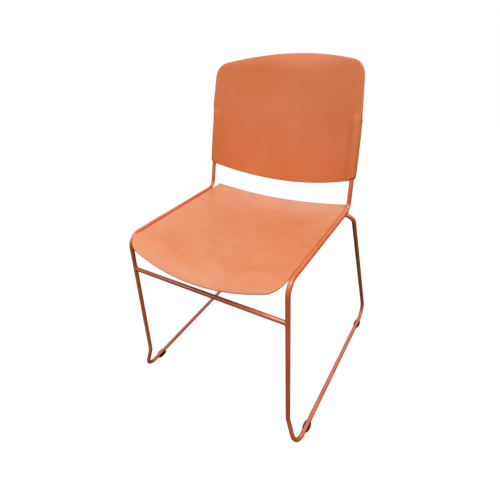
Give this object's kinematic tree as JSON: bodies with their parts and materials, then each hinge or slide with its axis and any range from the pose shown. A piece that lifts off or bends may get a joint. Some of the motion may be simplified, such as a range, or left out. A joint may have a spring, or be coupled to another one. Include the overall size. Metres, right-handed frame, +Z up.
{
  "type": "stacking chair",
  "caption": "Armless stacking chair with bent rod sled legs, a thin dished plastic seat, a curved plastic backrest on two uprights and black floor glides.",
  "frame": {"origin": "on the floor, under the centre of the chair's bounding box", "axes": "+Z up, the front of the chair faces -Y, +X to the right seen from the front camera that looks along +Y"},
  "size_m": [0.4994, 0.5336, 0.7823],
  "materials": {
    "frame_paint": "terracotta orange powder coat, semi-matte, on solid steel rod",
    "seat_plastic": "terracotta orange moulded plastic with a fine matte grain",
    "back_plastic": "terracotta orange moulded plastic with a fine matte grain",
    "glide_plastic": "black moulded plastic, scuffed on the sole",
    "buffer_rubber": "black rubber",
    "screw_steel": "zinc-plated steel"
  },
  "bodies": {
    "root": {"left_side_rod": "frame_paint", "right_side_rod": "frame_paint", "front_crossbar": "frame_paint", "seat_tab_front_left": "frame_paint", "seat_tab_front_right": "frame_paint", "seat_tab_rear_left": "frame_paint", "seat_tab_rear_right": "frame_paint", "seat_shell": "seat_plastic", "backrest_shell": "back_plastic", "glide_front_left": "glide_plastic", "glide_front_right": "glide_plastic", "glide_rear_left": "glide_plastic", "glide_rear_right": "glide_plastic", "stacking_buffer_front_left": "buffer_rubber", "stacking_buffer_front_right": "buffer_rubber", "stacking_buffer_rear_left": "buffer_rubber", "stacking_buffer_rear_right": "buffer_rubber", "seat_screw_front_left": "screw_steel", "seat_screw_front_right": "screw_steel", "seat_screw_rear_left": "screw_steel", "seat_screw_rear_right": "screw_steel", "backrest_screw_left": "screw_steel", "backrest_screw_right": "screw_steel"}
  },
  "joints": []
}
